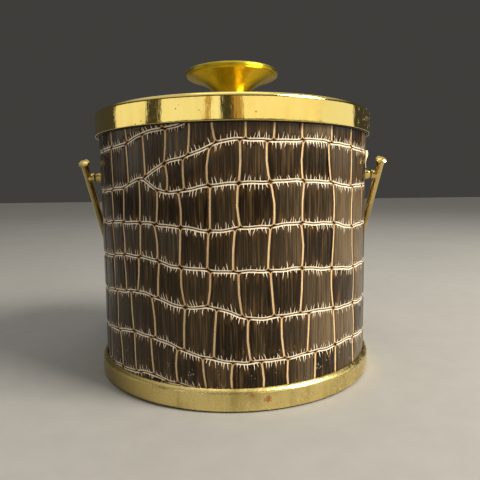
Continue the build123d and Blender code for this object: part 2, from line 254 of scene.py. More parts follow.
def scale_columns(width, rng):
    """Mesh columns across one scale, close together beside its creases.

    Every other inner column runs along a wrinkle at the scale's bottom and another at its top.
    Returns each column's share of the width for each mesh row, and its two wrinkles' lengths.
    """
    steps = np.array(SIDE_STEPS) * min(1, width / 8)
    inner = width - 2 * steps[-1]
    ticks = max(1, round(inner / TICK_GAP))
    count = 2 * ticks - 1
    places = np.repeat(steps[-1] + inner * np.arange(1, count + 1)[:, None] / (count + 1), 2, axis=1)
    slants, lengths = np.zeros((count, 2)), np.zeros((count, 2))
    places[::2] += rng.uniform(-TICK_STRAY, TICK_STRAY, (ticks, 2))
    slants[::2] = rng.uniform(-TICK_STRAY, TICK_STRAY, (ticks, 2))
    lengths[::2] = rng.uniform(*TICK_LENGTH, (ticks, 2))
    lengths[::2] *= rng.uniform(size=(ticks, 2)) < TICK_SHARE
    ends = np.array(END_STEPS)
    at_bottom = places[:, :1] + slants[:, :1] * ends
    at_top = places[:, 1:] + slants[:, 1:] * ends[::-1]
    middle = (at_bottom[:, -1:] + at_top[:, :1]) / 2
    inner_places = np.sort(np.hstack([at_bottom, middle, at_top]), axis=0)
    sides = np.repeat(np.array([0, *steps])[:, None], inner_places.shape[1], axis=1)
    all_places = np.vstack([sides, inner_places, width - sides[:0:-1]])
    no_ticks = np.zeros((len(steps) + 1, 2))
    return all_places / width, np.vstack([no_ticks, lengths, no_ticks[1:]])


class Row:
    """The mesh columns of one row of scales, from its start to its end."""

    def __init__(self, creases, rng):
        self.creases = creases
        count = len(creases.places) - 1
        rows = 2 * len(END_STEPS) + 1
        index, share, lengths, near, tone, tilt = [], [], [], [], [], []
        for k in range(count):
            shares, both = scale_columns(creases.places[k + 1] - creases.places[k], rng)
            columns = len(shares)
            share.append(shares)
            lengths.append(both)
            index += [k] * columns
            near += [(k > 0, k + 1 < count)] * columns
            tone += [rng.uniform()] * columns
            tilt += [rng.uniform(-1, 1, 2)] * columns
        share.append(np.ones((1, rows)))
        lengths.append(np.zeros((1, 2)))
        self.index = np.array([*index, index[-1]])[:, None]
        self.share = np.vstack(share)
        self.lengths = np.vstack(lengths)
        self.near = np.array([*near, (False, False)])
        self.tone = np.array([*tone, tone[-1]])[:, None]
        self.tilt = np.array([*tilt, tilt[-1]])

    def lay_out(self, bottom, top):
        """Finds every point's place, and its distances from the creases round it."""
        half = len(END_STEPS)
        centre = self.share[:, half:half + 1]
        left, right = self.creases.at(self.index, 0.5), self.creases.at(self.index + 1, 0.5)
        middle = left * (1 - centre) + right * centre
        height = top(middle) - bottom(middle)
        steps = np.array(END_STEPS) * np.minimum(1, height / (2.4 * END_STEPS[-1]))
        self.t = np.hstack([steps, height / 2, height - steps[:, ::-1]]) / height
        left, right = self.creases.at(self.index, self.t), self.creases.at(self.index + 1, self.t)
        self.along = left * (1 - self.share) + right * self.share
        far = 99.0
        self.across = np.minimum(np.where(self.near[:, :1], self.along - left, far),
                                 np.where(self.near[:, 1:], right - self.along, far))
        floor, ceiling = bottom(self.along), top(self.along)
        self.up = floor + (ceiling - floor) * self.t
        self.to_bottom = (self.up - floor) / np.hypot(1, self.slope(bottom))
        self.to_top = (ceiling - self.up) / np.hypot(1, self.slope(top))
        self.to_level = np.maximum(np.minimum(self.to_bottom, self.to_top), 0)

    def slope(self, curve):
        """Rise of a crease along the vinyl, at each point."""
        probe = 0.5
        return (curve(self.along + probe) - curve(self.along - probe)) / (2 * probe)

    def ticks(self):
        """1 along the middle of a wrinkle at its root, TICK_EDGE at its tip, 0 between wrinkles."""
        lengths = np.where(self.to_bottom < self.to_top, self.lengths[:, :1], self.lengths[:, 1:])
        fall = (1 - TICK_EDGE) * (self.to_level / np.maximum(lengths, 0.1)) ** 2.2
        return np.where(lengths > 0, np.maximum(1 - fall, 0), 0)

    def depth(self):
        """How far each point lies below the vinyl's nominal surface, in mm."""
        distance = rounded_distance(self.across, self.to_level)
        shoulder = 1 - smoothstep(OUTER * 0.8, OUTER + 1.5, distance)
        fold = np.maximum(0, 1 - self.to_level / HALF_GROOVE)
        side, rise = 2 * self.share - 1, 2 * self.t - 1
        bulge = CROWN * (side ** 2 + 0.5 * rise ** 2)
        tipped = TILT * (self.tilt[:, :1] * side + self.tilt[:, 1:] * rise)
        ticks = np.clip((self.ticks() - 0.6) / 0.4, 0, 1)
        from_ends = np.minimum(self.along - self.along[:1], self.along[-1:] - self.along)
        seam = SEAM_DEPTH * np.exp(-np.abs(from_ends) / 0.5)
        return (PLATEAU + bulge + tipped + VALLEY * shoulder + FOLD * fold
                + TICK_DEPTH * ticks * (1 - shoulder) + seam)


def strip(row, thickness):
    """One row as a closed strip of mesh with a flat back.

    Returns its points as (along, up, depth) in mm, its faces, and two vectors for each point:
    crease (mm to an upright crease, mm to a level one, tick) and place (along, up, tone).
    """
    overlap = 0.02        # so that no light passes between neighbouring rows
    row.up[:, 0] -= overlap
    row.up[:, -1] += overlap
    columns, loop = row.up.shape[0], row.up.shape[1] + 2

    def with_back(values, back=None):
        behind = values[:, [-1, 0]] if back is None else np.full((columns, 2), back)
        return np.hstack([values, behind]).ravel()

    along, up = with_back(row.along), with_back(row.up)
    points = np.column_stack([along, up, with_back(row.depth(), thickness)])
    crease = np.column_stack([with_back(np.minimum(row.across, 12), 0.0),
                              with_back(row.to_level, 0.0), with_back(row.ticks(), 0.0)])
    place = np.column_stack([along, up, np.repeat(row.tone, loop, axis=1).ravel()])
    faces = []
    for i in range(columns - 1):
        here, there = i * loop, (i + 1) * loop
        for j in range(loop):
            after = (j + 1) % loop
            faces.append((here + j, there + j, there + after, here + after))
    last = (columns - 1) * loop
    faces.append(tuple(range(loop)))
    faces.append(tuple(last + j for j in reversed(range(loop))))
    return points, faces, crease, place


def row_of_scales(bottom, top, creases, rng):
    """One row of scales between two level creases, as a closed strip."""
    row = Row(creases, rng)
    row.lay_out(bottom, top)
    return strip(row, WRAP_R - WRAP_IN_R - 0.05)


def join_rows(rows):
    """Several strips as one mesh."""
    points, faces, crease, place = [], [], [], []
    count = 0
    for row in rows:
        points.append(row[0])
        faces += [tuple(count + v for v in face) for face in row[1]]
        crease.append(row[2])
        place.append(row[3])
        count += len(row[0])
    return np.concatenate(points), faces, np.concatenate(crease), np.concatenate(place)


# Level creases round the drum: (angle, height in mm). The rows have no need to meet at the
# seam, at 180 degrees. The rising crease leaves the second one at the fork and winds up to the
# top of the wrap, one turn later.
FORK = -34
RISING_FROM_FORK = [(-34, 133), (-25, 141), (-15, 146), (-8, 150), (-3, 153), (13, 153), (30, 154),
                    (50, 152), (64, 151), (100, 149), (140, 152), (180, 150)]
RISING_TO_TOP = [(-180, 150), (-140, 152), (-100, 150), (-65, 153), (-42, 155), (-33, 159),
                 (-26, 161), (-19, 162), (-13, 166), (-7, 172)]
LEVEL_CREASES = [
    [(-180, 126), (-120, 129), (-66, 127), (-45, 129), (FORK, 133), (-27, 127), (-18, 126),
     (-9, 129), (2, 130), (30, 131), (50, 128), (66, 129), (120, 126), (180, 128)],
    [(-180, 103), (-120, 106), (-61, 107), (-36, 108), (-19, 106), (-10, 104), (1, 105),
     (24, 107), (38, 106), (51, 103), (67, 104), (120, 102), (180, 104)],
    [(-180, 80), (-120, 82), (-63, 85), (-37, 88), (-18, 83), (0, 81), (24, 81), (51, 77),
     (70, 77), (120, 79), (180, 78)],
    [(-180, 56), (-120, 60), (-65, 62), (-30, 65), (-19, 60), (-9, 61), (3, 55), (27, 55),
     (52, 53), (74, 52), (120, 55), (180, 54)],
    [(-180, 33), (-120, 35), (-64, 37), (-31, 40), (-21, 36), (-10, 31), (29, 30), (53, 31),
     (74, 27), (120, 30), (180, 31)],
    [(-180, 9), (-120, 12), (-67, 14), (-48, 15), (-32, 17), (-24, 15), (0, 9), (60, 6),
     (120, 8), (180, 9)],
]
# Angles of the upright creases across the front, row by row from the top.
ABOVE_RISING = [-53, -42, -25]
UPPER_ROW = [-53, -42, -33, -24, -15, -6, 4, 14, 25, 38, 51, 62, 73]
FORK_ROW = [-24, -17, -8, 2, 12, 25, 37, 51, 64, 75]
LOWER_ROWS = [
    [-64, -54, -45, -36, -28, -19, -8, 2, 13, 25, 39, 52, 64, 75],
    [-64, -54, -46, -36, -29, -19, -9, 0, 12, 24, 39, 53, 69],
    [-65, -55, -46, -38, -28, -18, -9, 2, 13, 24, 39, 54, 68],
    [-65, -53, -42, -31, -18, -7, 5, 17, 27, 40, 54, 71],
    [-62, -51, -41, -32, -21, -11, -1, 9, 19, 30, 41, 54, 74],
    [-60, -50, -38, -26, -14, -3, 8, 20, 31, 43, 55, 67],
]


def round_drum(angle):
    """Degrees round the drum to millimetres along the vinyl."""
    return np.radians(angle) * WRAP_R


def rolled(points):
    """Points (along the vinyl, up, out from its nominal surface) as places round the drum."""
    angle, radius = points[:, 0] / WRAP_R, WRAP_R + points[:, 2]
    return np.column_stack([radius * np.sin(angle), -radius * np.cos(angle), points[:, 1]])


def flat(height):
    """A level crease or edge that stays at one height."""
    return lambda x: np.full(np.shape(x), float(height))


def crease_curve(points, ripple, rng):
    """A level crease as height against place along the vinyl, with small ripples of its own."""
    curve = smooth_curve([(round_drum(a), h) for a, h in points])
    phase = rng.uniform(0, 6.28, 2)

    def at(x):
        return curve(x) + ripple * (np.sin(x * 0.21 + phase[0]) + 0.6 * np.sin(x * 0.47 + phase[1]))

    return at


def wrap_rows():
    """All rows of the wrap, from the top down."""
    rng = np.random.default_rng(11)
    seam = round_drum(180) - 0.1
    fork = round_drum(FORK)
    past_fork, before_leaving = 0.3, 9

    def switched(before, after, at_place):
        return lambda x: np.where(x < at_place, before(x), after(x))

    second = crease_curve(LEVEL_CREASES[0], 0.25, rng)
    rising = crease_curve(RISING_FROM_FORK, 0.25, rng)
    leaving = crease_curve(RISING_TO_TOP, 0.2, rng)
    curves = [second] + [crease_curve(points, 0.3, rng) for points in LEVEL_CREASES[1:]]
    leave_at = round_drum(RISING_TO_TOP[-1][0])
    wrap_top, wrap_bottom = flat(WRAP_TOP), flat(WRAP_BOTTOM)

    def join_at_fork(x):
        """The rising crease, started at the second one's height so that the fork is a point."""
        return rising(x) + (second(fork) - rising(fork)) * np.exp(-(x - fork) / 6.0)

    capped = lambda x: np.minimum(leaving(x), WRAP_TOP)
    plan = [
        (capped, wrap_top, ABOVE_RISING, -seam, leave_at - before_leaving),
        (switched(second, join_at_fork, fork), switched(capped, wrap_top, leave_at),
         UPPER_ROW, -seam, seam),
        (second, join_at_fork, FORK_ROW, fork + past_fork, seam),
    ]
    curves.append(wrap_bottom)
    for upper, lower, front in zip(curves[:-1], curves[1:], LOWER_ROWS):
        plan.append((lower, upper, front, -seam, seam))
    rows = []
    for bottom, top, front, start, end in plan:
        places = row_places([round_drum(a) for a in front], start, end, rng)
        creases = Creases(places, start, end, rng)
        rows.append(row_of_scales(bottom, top, creases, rng))
    return rows


def make_wrap():
    """The vinyl, one closed sheet of scales. Its points hold their depth below the surface."""
    points, faces, crease, place = join_rows(wrap_rows())
    outwards = points * (1, 1, -1)
    wrap = make_piece("wrap", rolled(outwards), faces, "bucket", "embossed_vinyl")
    store(wrap, "crease", crease)
    store(wrap, "place", place)
    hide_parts("body_wrap")
    return wrap


def make_wrap_tab():
    """A corner of the vinyl that has come unstuck and curls away, pale side out."""
    columns, rows, thickness = 7, 13, 0.5
    width, foot_lift, curl = 1.9, 0.25, 1.5
    points = []
    for back in (0, thickness):
        for j in range(rows):
            t = j / (rows - 1)
            for i in range(columns):
                side = i / (columns - 1)
                narrow = 1.0 + 0.5 * math.sin(t * 9) - 0.3 * t
                along = round_drum(TAB_ANGLE) + width * (side - 0.5) * narrow
                up = TAB_BOTTOM + (TAB_TOP - TAB_BOTTOM) * t + 0.5 * side
                most = 0.45 + 0.55 * math.cos(t * 5.5 - 4.4)
                lift = foot_lift + curl * side ** 1.5 * most
                points.append((along, up, lift - back))
    count = rows * columns
    faces = []
    for j in range(rows - 1):
        for i in range(columns - 1):
            a = j * columns + i
            quad = (a, a + 1, a + columns + 1, a + columns)
            faces += [quad, tuple(count + v for v in reversed(quad))]
    rim = [*range(columns), *range(2 * columns - 1, count, columns),
           *range(count - 2, count - columns - 1, -1), *range(count - 2 * columns, 0, -columns)]
    for here, there in zip(rim, rim[1:] + rim[:1]):
        faces.append((there, here, count + here, count + there))
    return make_piece("wrap_tab", rolled(np.array(points)), faces, "bucket", "embossed_vinyl")


# ---------------------------------------------------------------- brass
def ripples(seed, count, size, longest):
    """Shallow unevenness of thin sheet: a function of place round a band and height, in mm."""
    rng = np.random.default_rng(seed)
    waves = rng.integers(2, longest, count)
    phases = rng.uniform(0, 6.28, count)
    rises = rng.uniform(-0.12, 0.12, count)
    sizes = size * rng.uniform(0.4, 1, count) * (8 / (8 + waves))

    def at(angle, height):
        return sum(a * np.sin(n * angle + p + k * height)
                   for a, n, p, k in zip(sizes, waves, phases, rises))

    return at


def make_lid_shell():
    """Drawn sheet: a skirt, a rounded shoulder and a slightly crowned top."""
    r, low_z, high_z, t = LID_R, LID_BOTTOM, LID_EDGE_TOP, BRASS_T
    shoulder, lip, hole_r, inset = 2.6, 0.25, 3.0, 0.05
    skirt_top = high_z - shoulder
    wall = [(r, low_z + lip + (skirt_top - low_z - lip) * k / 7) for k in range(1, 7)]
    edge, seat = r - shoulder, high("knob_rosette").x + 1

    def crown(drop):
        """The top from the seat out to the edge, at this distance below the outside."""
        reach = np.linspace(0, 1, 15)
        rise = (LID_CROWN - high_z) * (1 - reach ** 2)
        return [(seat + (edge - seat) * k, high_z + h - drop) for k, h in zip(reach, rise)]

    outline = [
        *arc((r - lip, low_z + lip), lip, -90, 0, 5), *wall,
        *arc((edge, skirt_top), shoulder, 0, 90, 10), *crown(0)[-2::-1],
        (hole_r, LID_CROWN), (hole_r, LID_CROWN - t), *crown(t),
        *arc((edge, skirt_top), shoulder - t, 90, 0, 7)[1:],
        *arc((r - t + lip, low_z + lip), lip, 180, 270, 5),
    ]
    uneven = ripples(3, 9, 0.045, 26)

    def wobble(angle, points):
        outside = smoothstep(r - 1.2, r - 0.2, points[:, 0])
        points[:, 0] -= outside * (inset + uneven(angle, points[:, 1]))
        return points

    shell = lathe("lid_top_shell", outline, 288, "lid", "polished_brass", wobble)
    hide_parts("lid_shell")
    return shell


def make_base_band():
    """Tray with a bevelled rim, whose inner edge meets the vinyl and is lumpy with old glue."""
    r, low_z, high_z, t = BASE_BAND_R, BASE_BAND_BOTTOM, BASE_BAND_TOP, BRASS_T
    foot_r, rim_height, pull = 1.8, 2.8, 0.9
    ledge, inset, highest_lump = 0.6, 0.12, 0.3
    edge_r, flange_r = WRAP_R + 0.1, high("base_pad").x + 0.5
    foot, rim = (r - foot_r, low_z + foot_r), (r, high_z - rim_height)
    wall = [(r, foot[1] + (rim[1] - foot[1]) * k / 6) for k in range(1, 6)]
    bevel = bezier(rim, (r, rim[1] + pull), (edge_r + pull, high_z), (edge_r, high_z), 14)
    outline = [
        (flange_r, low_z), *arc(foot, foot_r, -90, 0, 9), *wall, *bevel,
        (edge_r, high_z), (edge_r, high_z - t), (r - t, rim[1]),
        *arc(foot, foot_r - t, 0, -90, 5), (flange_r, low_z + t),
    ]
    uneven, lumps = ripples(8, 12, 0.11, 24), ripples(9, 14, 0.5, 330)

    def wobble(angle, points):
        outside = smoothstep(r - 0.6, r - 0.1, points[:, 0])
        on_ledge = (1 - smoothstep(edge_r, r - 1, points[:, 0])) * (points[:, 1] > high_z - ledge)
        points[:, 0] -= outside * (inset + uneven(angle, points[:, 1]))
        points[:, 1] += on_ledge * np.clip(lumps(angle, 0), 0, highest_lump)
        return points

    band = lathe("base_tray", outline, 720, "bucket", "satin_brass", wobble)
    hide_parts("base_band")
    return band


def make_knob():
    """Turned trumpet knob: foot, waist, flare, a thick rolled edge and a dished top."""
    foot, top, bead = KNOB_FOOT, KNOB_TOP, KNOB_BEAD_R
    middle = (KNOB_R - bead, top - bead)
    under = (middle[0] + bead * 0.26, middle[1] - bead * 0.966)
    over = (middle[0] - bead * 0.55, middle[1] + bead * 0.83)
    foot_r, foot_edge, waist_r, flare = 11.6, 1, 9.6, 11.4
    waist = (waist_r, foot + 6.5)
    outline = [
        (0, foot), (foot_r, foot), *arc((foot_r, foot + foot_edge), foot_edge, -90, 30, 7),
        *bezier((12.2, foot + 1.8), (10.3, foot + 3.2), (waist_r, foot + 4.6), waist, 10),
        *bezier(waist, (waist_r, foot + 18), (under[0] - flare, under[1] - 3.6), under, 30),
        *arc(middle, bead, -75, 124, 26),
        *bezier(over, (over[0] - 4, over[1] - 2.2), (14, top - KNOB_DISH), (0, top - KNOB_DISH), 20),
        (0, top - KNOB_DISH),
    ]
    knob = lathe_to_axis("lid_knob", outline, 192, "lid", "knob_brass")
    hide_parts("knob")
    return knob


# ---------------------------------------------------------------- materials
class Shader:
    """A node material in the making. Every method adds a node and returns its output."""

    def __init__(self, name):
        self.material = bpy.data.materials.new(name)
        self.material.use_nodes = True
        self.tree = self.material.node_tree
        self.surface = self.tree.nodes["Principled BSDF"]

    def connect(self, socket, value):
        """Links an output to a socket, or sets the socket's own value."""
        if isinstance(value, bpy.types.NodeSocket):
            self.tree.links.new(value, socket)
        elif isinstance(value, tuple) and socket.type == "RGBA":
            socket.default_value = (*value, 1)
        else:
            socket.default_value = value

    def set(self, **inputs):
        """Sets or links the surface's inputs. An underscore stands for a space."""
        for name, value in inputs.items():
            self.connect(self.surface.inputs[name.replace("_", " ")], value)

    def node(self, kind, **settings):
        made = self.tree.nodes.new(kind)
        for name, value in settings.items():
            setattr(made, name, value)
        return made

    def math(self, operation, a, b=0.0, c=0.0):
        made = self.node("ShaderNodeMath", operation=operation)
        for socket, value in zip(made.inputs, (a, b, c)):
            self.connect(socket, value)
        return made.outputs[0]

    def step(self, low_end, high_end, x):
        """0 below low_end, 1 above high_end, smooth between. The ends may be swapped."""
        made = self.node("ShaderNodeMapRange", interpolation_type="SMOOTHSTEP")
        self.connect(made.inputs["Value"], x)
        swapped = low_end > high_end
        made.inputs["From Min"].default_value = min(low_end, high_end)
        made.inputs["From Max"].default_value = max(low_end, high_end)
        made.inputs["To Min"].default_value = float(swapped)
        made.inputs["To Max"].default_value = float(not swapped)
        return made.outputs[0]

    def mix(self, share, a, b):
        """Colour a where share is 0 and colour b where it is 1."""
        made = self.node("ShaderNodeMix", data_type="RGBA")
        self.connect(made.inputs["Factor"], share)
        colours = [s for s in made.inputs if s.type == "RGBA"]
        self.connect(colours[0], a)
        self.connect(colours[1], b)
        return [s for s in made.outputs if s.type == "RGBA"][0]

    def blend(self, share, a, b):
        """Number a where share is 0 and number b where it is 1."""
        made = self.node("ShaderNodeMix", data_type="FLOAT")
        self.connect(made.inputs["Factor"], share)
        self.connect(made.inputs["A"], a)
        self.connect(made.inputs["B"], b)
        return made.outputs[0]

    def attribute(self, name):
        """The three numbers of a vector kept on the mesh."""
        made = self.node("ShaderNodeAttribute", attribute_name=name)
        return self.split(made.outputs["Vector"])

    def split(self, vector):
        made = self.node("ShaderNodeSeparateXYZ")
        self.connect(made.inputs[0], vector)
        return made.outputs[0], made.outputs[1], made.outputs[2]

    def vector(self, x, y, z=0.0):
        made = self.node("ShaderNodeCombineXYZ")
        for socket, value in zip(made.inputs, (x, y, z)):
            self.connect(socket, value)
        return made.outputs[0]

    def where(self):
        """The point in the object's own frame, in metres."""
        return self.node("ShaderNodeTexCoord").outputs["Object"]

    def stretch(self, vector, scale):
        made = self.node("ShaderNodeMapping")
        self.connect(made.inputs["Vector"], vector)
        made.inputs["Scale"].default_value = scale
        return made.outputs[0]

    def noise(self, vector, scale=1.0, detail=3.0, roughness=0.55):
        made = self.node("ShaderNodeTexNoise")
        self.connect(made.inputs["Vector"], vector)
        made.inputs["Scale"].default_value = scale
        made.inputs["Detail"].default_value = detail
        made.inputs["Roughness"].default_value = roughness
        return made.outputs[0]

    def cells(self, vector, scale):
        """Distance to the nearest of many scattered points."""
        made = self.node("ShaderNodeTexVoronoi")
        self.connect(made.inputs["Vector"], vector)
        made.inputs["Scale"].default_value = scale
        return made.outputs["Distance"]

    def distance(self, vector, place):
        """Distance from a point of the object's own frame."""
        made = self.node("ShaderNodeVectorMath", operation="DISTANCE")
        self.connect(made.inputs[0], vector)
        made.inputs[1].default_value = place
        return made.outputs["Value"]

    def bump(self, height, distance, strength=1.0, under=None):
        made = self.node("ShaderNodeBump")
        self.connect(made.inputs["Height"], height)
        made.inputs["Distance"].default_value = distance
        made.inputs["Strength"].default_value = strength
        if under is not None:
            self.connect(made.inputs["Normal"], under)
        return made.outputs[0]


# Colours of the vinyl. A pair holds the two ends of a natural spread.
SCALES = (0.005, 0.0025, 0.001), (0.028, 0.016, 0.006)
# Pale scales painted as a glossy sheen: grey, and tan where the key light falls.
SHEEN_GREY, SHEEN_TAN = (0.062, 0.055, 0.044), (0.165, 0.12, 0.07)
STREAK, GOLDEN_END = (0.17, 0.10, 0.040), (0.15, 0.075, 0.018)
# Scale edges: painted near-black shade beside a level crease, golden-brown thinning ink beside an
# upright one.
SHADE_BY_LEVEL, BY_UPRIGHT = (0.007, 0.004, 0.002), (0.060, 0.032, 0.012)
DUST = (0.52, 0.49, 0.44)
LEVEL_LINE = (0.82, 0.63, 0.42), (0.98, 0.86, 0.68)
# An upright crease's line: a lighter core painted as a highlight, darker edges painted as shade.
UPRIGHT_LINE = (0.66, 0.42, 0.20), (0.90, 0.67, 0.40)
UPRIGHT_LINE_SHADE = (0.30, 0.16, 0.06), (0.52, 0.31, 0.13)
WRINKLE, FOLD_COLOUR = (1.0, 0.90, 0.74), (0.010, 0.005, 0.002)
# Where scales are painted pale as a glossy sheen, as the places in mm between which the painted
# sheen sets in or ends.
RIGHT_SHEEN_STARTS, RIGHT_SHEEN_ENDS = (15.0, 60.0), (210.0, 100.0)
LEFT_SHEEN_STARTS, LEFT_SHEEN_ABOVE = (-15.0, -35.0), (70.0, 110.0)
DUST_BELOW = (46.0, 22.0)


def outline_distance(s, across, along, place):
    """Distance from a scale's rounded outline, as in rounded_distance, but slightly ragged."""
    shift = s.math("MULTIPLY_ADD", s.noise(place, 0.9, 2), 0.4, -0.2)
    narrow = s.math("MULTIPLY", across, UPRIGHT_NARROWING)
    q = s.math("MAXIMUM", s.math("SUBTRACT", CORNER - HALF_GROOVE, narrow), 0.0)
    p = s.math("MAXIMUM", s.math("SUBTRACT", CORNER, along), 0.0)
    reach = s.math("SQRT", s.math("ADD", s.math("MULTIPLY", q, q), s.math("MULTIPLY", p, p)))
    return s.math("ADD", s.math("SUBTRACT", CORNER, reach), shift)


def scale_colour(s, round_it, up, tone, fine):
    """Dark brown, with some scales painted pale as a glossy sheen: tan on the right, grey at the
    upper left.
    """
    sheen_right = s.math("MULTIPLY", s.step(*RIGHT_SHEEN_STARTS, round_it),
                        s.step(*RIGHT_SHEEN_ENDS, round_it))
    sheen_left = s.math("MULTIPLY", s.step(*LEFT_SHEEN_STARTS, round_it),
                       s.step(*LEFT_SHEEN_ABOVE, up))
    # Painted sheen: many pale scales on the lit right and upper left, a few elsewhere, chosen by
    # each scale's tone.
    sheen_weight = s.math("MULTIPLY_ADD", s.math("MAXIMUM", sheen_right, sheen_left), 0.75, 0.15)
    milky = s.math("MULTIPLY", s.step(0.20, 0.75, tone), sheen_weight)
    milky = s.math("MULTIPLY", milky, s.math("MULTIPLY_ADD", s.step(0.38, 0.62, fine), 0.6, 0.4))
    return s.mix(milky, s.mix(tone, *SCALES), s.mix(sheen_right, SHEEN_GREY, SHEEN_TAN))


def add_streaks(s, colour, across, along, fine, broad, patch):
    """Brown streaks up a scale's middle, and golden patches near its level creases."""
    inside = s.step(0.8, 5.0, across)
    streak = s.math("MULTIPLY", s.step(0.44, 0.74, fine),
                    s.math("MULTIPLY_ADD", s.step(0.30, 0.65, broad), 0.7, 0.3))
    streak = s.math("MULTIPLY", streak, s.math("MULTIPLY_ADD", inside, 0.6, 0.4))
    near_end = s.step(9.0, 2.0, along)
    golden = s.math("MULTIPLY", s.step(0.48, 0.70, patch), s.math("MULTIPLY", near_end, 0.7))
    return s.mix(golden, s.mix(s.math("MULTIPLY", streak, 0.7), colour, STREAK), GOLDEN_END)


def add_dust(s, colour, place, up):
    """Pale specks low on the wrap."""
    specks = s.math("MULTIPLY", s.step(0.34, 0.18, s.cells(place, 0.7)),
                    s.step(0.56, 0.64, s.noise(place, 0.16, 3)))
    dust = s.math("MULTIPLY", specks, s.step(*DUST_BELOW, up))
    return s.mix(s.math("MULTIPLY", dust, 0.5), colour, DUST)


def line_colour(s, round_it, up, across, beside_upright):
    """The line beside a crease: cream by a level one; golden by an upright, with a lighter core
    painted as a highlight and darker edges painted as shade.
    """
    mottle = s.noise(s.vector(round_it, up, 3.0), 0.5, 2)
    highlit_core = s.step(0.85, 0.35, across)
    golden = s.mix(highlit_core, s.mix(mottle, *UPRIGHT_LINE_SHADE), s.mix(mottle, *UPRIGHT_LINE))
    return s.mix(beside_upright, s.mix(mottle, *LEVEL_LINE), golden)


def vinyl():
    """Glossy reptile-grain vinyl: dark scales with upright streaks, and pale creases."""
    s = Shader("embossed_vinyl")
    across, along, wrinkle = s.attribute("crease")
    round_it, up, tone = s.attribute("place")
    place = s.vector(round_it, up)
    seed = s.math("MULTIPLY", tone, 57.0)

    def upright(often_round, often_up, detail, roughness=0.55):
        """Noise drawn out up the vinyl, and different on every scale."""
        drawn_out = s.vector(s.math("MULTIPLY", round_it, often_round),
                             s.math("MULTIPLY", up, often_up), seed)
        return s.noise(drawn_out, 1.0, detail, roughness)

    distance = outline_distance(s, across, along, place)
    beside_upright = s.step(CORNER, 1.0, across)
    line = s.math("MULTIPLY", s.step(HALF_GROOVE - 0.12, HALF_GROOVE + 0.1, distance),
                  s.step(OUTER + 0.15, OUTER - 0.15, distance))
    edge_shade_and_ink = s.step(OUTER + 1.1, OUTER, distance)
    tick = s.step(TICK_EDGE - 0.03, TICK_EDGE + 0.05, wrinkle)
    fold = s.step(HALF_GROOVE + 0.02, HALF_GROOVE - 0.16, distance)
    fine = upright(1.1, 0.03, 4)
    colour = scale_colour(s, round_it, up, tone, fine)
    colour = add_streaks(s, colour, across, along, fine, upright(0.16, 0.03, 1),
                         upright(0.95, 0.07, 2))
    # Painted shade on a scale's edge beside a level crease; golden ink beside an upright one.
    colour = s.mix(edge_shade_and_ink, colour, s.mix(beside_upright, SHADE_BY_LEVEL, BY_UPRIGHT))
    colour = add_dust(s, colour, place, up)
    colour = s.mix(tick, colour, WRINKLE)
    colour = s.mix(line, colour, line_colour(s, round_it, up, across, beside_upright))
    colour = s.mix(fold, colour, FOLD_COLOUR)

    scuffs = s.noise(s.vector(round_it, up, 9.0), 2.6, 5, 0.7)
    gloss = s.math("MULTIPLY_ADD", scuffs, 0.14, 0.12)
    s.set(Base_Color=colour, Roughness=s.blend(line, gloss, 0.45),
          Normal=s.bump(upright(2.6, 0.1, 4, 0.6), 0.00018, 0.6), IOR=1.37,
          Specular_Tint=(1.0, 0.88, 0.70))
    return s.material


SPOT, FLECK, STAIN = (0.06, 0.032, 0.010), (0.62, 0.54, 0.36), (0.30, 0.12, 0.035)
PAINTED_SHADE_LEFT = (-0.01, -0.08)            # metres: the places between which painted shade darkens a band's left side
WORN_DEPTH, WORN_EDGE = 0.004, (0.004, 0.001)      # metres: how wear sets in, and by the rim


def tarnish_and_shade_share(s, where, x, smears, shade_left):
    """Where brass is dull: tarnish in clouds and smears, and painted shade on the left of a band
    that is shaded there.
    """
    tarnish_and_shade = s.step(0.40, 0.75, s.blend(0.4, s.noise(where, 34, 5, 0.6), smears))
    if shade_left:
        tarnish_and_shade = s.math("MAXIMUM", tarnish_and_shade, s.step(*PAINTED_SHADE_LEFT, x))
    return tarnish_and_shade


def spot_share(s, where, spots):
    """Small dark spots in groups."""
    dots = s.math("MULTIPLY", s.step(0.17, 0.06, s.cells(where, 250)),
                  s.step(0.54, 0.68, s.noise(where, 55, 2)))
    return s.math("MULTIPLY", dots, spots)


def fleck_share(s, where, x, y, radius, pits, worn_from):
    """Pale flecks: all over as many as there are pits, or only on the lid's rim past worn_from."""
    flecks = s.math("MULTIPLY", s.step(0.42, 0.26, s.cells(where, 640)),
                    s.step(0.46, 0.60, s.noise(where, 190, 2)))
    if worn_from is None:
        return s.math("MULTIPLY", flecks, 0.6 * pits)
    worn = s.math("MULTIPLY", s.step(worn_from, worn_from + WORN_DEPTH, x), s.step(0.02, 0.0, y))
    rim = LID_R * MM
    at_edge = s.step(rim - WORN_EDGE[0], rim - WORN_EDGE[1], radius)
    flecks = s.math("MULTIPLY", flecks, s.math("MULTIPLY", worn, at_edge))
    return s.math("MULTIPLY", flecks, 0.6)


def stain_share(s, where, place, size):
    """A stain with a ragged outline, of a size in metres."""
    ragged = s.noise(where, 900, 4, 0.7)
    edge = s.math("MULTIPLY_ADD", ragged, 2.4 * size, s.distance(where, place))
    return s.step(1.9 * size, 1.5 * size, edge)


